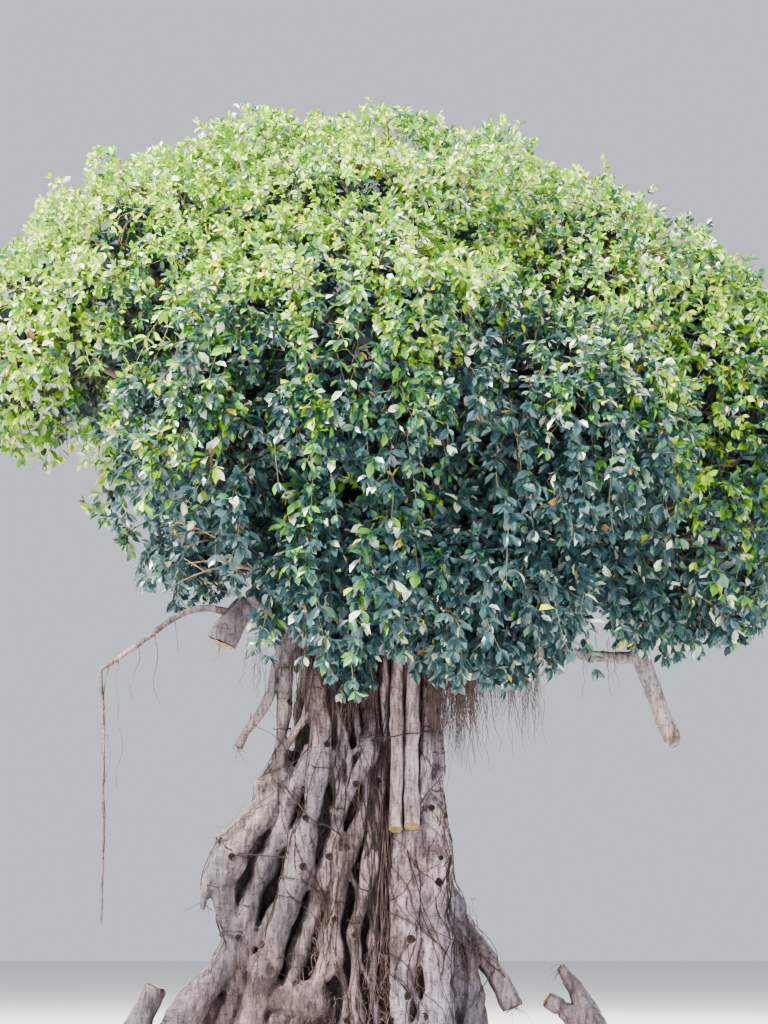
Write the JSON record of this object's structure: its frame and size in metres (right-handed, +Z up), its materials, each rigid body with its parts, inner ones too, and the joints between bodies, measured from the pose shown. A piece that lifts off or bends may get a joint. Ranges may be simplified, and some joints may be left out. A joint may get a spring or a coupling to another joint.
{
  "type": "banyan tree",
  "caption": "Small-leaved banyan tree with a splayed trunk of fused root stems, cut and hanging side roots, boughs that fan out of the head and a dense, mounded crown.",
  "frame": {"origin": "on the flat cut under the trunk at ground level, near the middle of its foot", "axes": "+Z up; +X to the right of the broad side that the picture shows; -Y out of that side, towards the viewer"},
  "size_m": [3.6018, 2.3856, 3.9093],
  "materials": {
    "bark": "dull, finely fissured grey-beige bark",
    "leaves": "glossy small oval leaves, deep green with young yellow-green ones"
  },
  "bodies": {
    "root": {"trunk": "bark", "limb_right_reach": "bark", "limb_right_drop": "bark", "root_left_stub": "bark", "root_left_reach": "bark", "root_left_drop": "bark", "bough_crown_top": "bark", "bough_crown_top_left": "bark", "bough_crown_top_right": "bark", "bough_crown_left": "bark", "bough_crown_right": "bark", "bough_crown_right_low": "bark", "bough_crown_front": "bark", "bough_crown_front_left": "bark", "bough_crown_front_right": "bark", "bough_skirt_front_left": "bark", "bough_skirt_front": "bark", "bough_skirt_front_right": "bark", "bough_crown_back": "bark", "bough_crown_back_left": "bark", "bough_crown_back_right": "bark", "bough_skirt_back": "bark", "crown_top": "leaves", "crown_top_left": "leaves", "crown_top_right": "leaves", "crown_left": "leaves", "crown_right": "leaves", "crown_right_low": "leaves", "crown_front": "leaves", "crown_front_left": "leaves", "crown_front_right": "leaves", "skirt_front_left": "leaves", "skirt_front": "leaves", "skirt_front_right": "leaves", "crown_back": "leaves", "crown_back_left": "leaves", "crown_back_right": "leaves", "skirt_back": "leaves"}
  },
  "joints": []
}
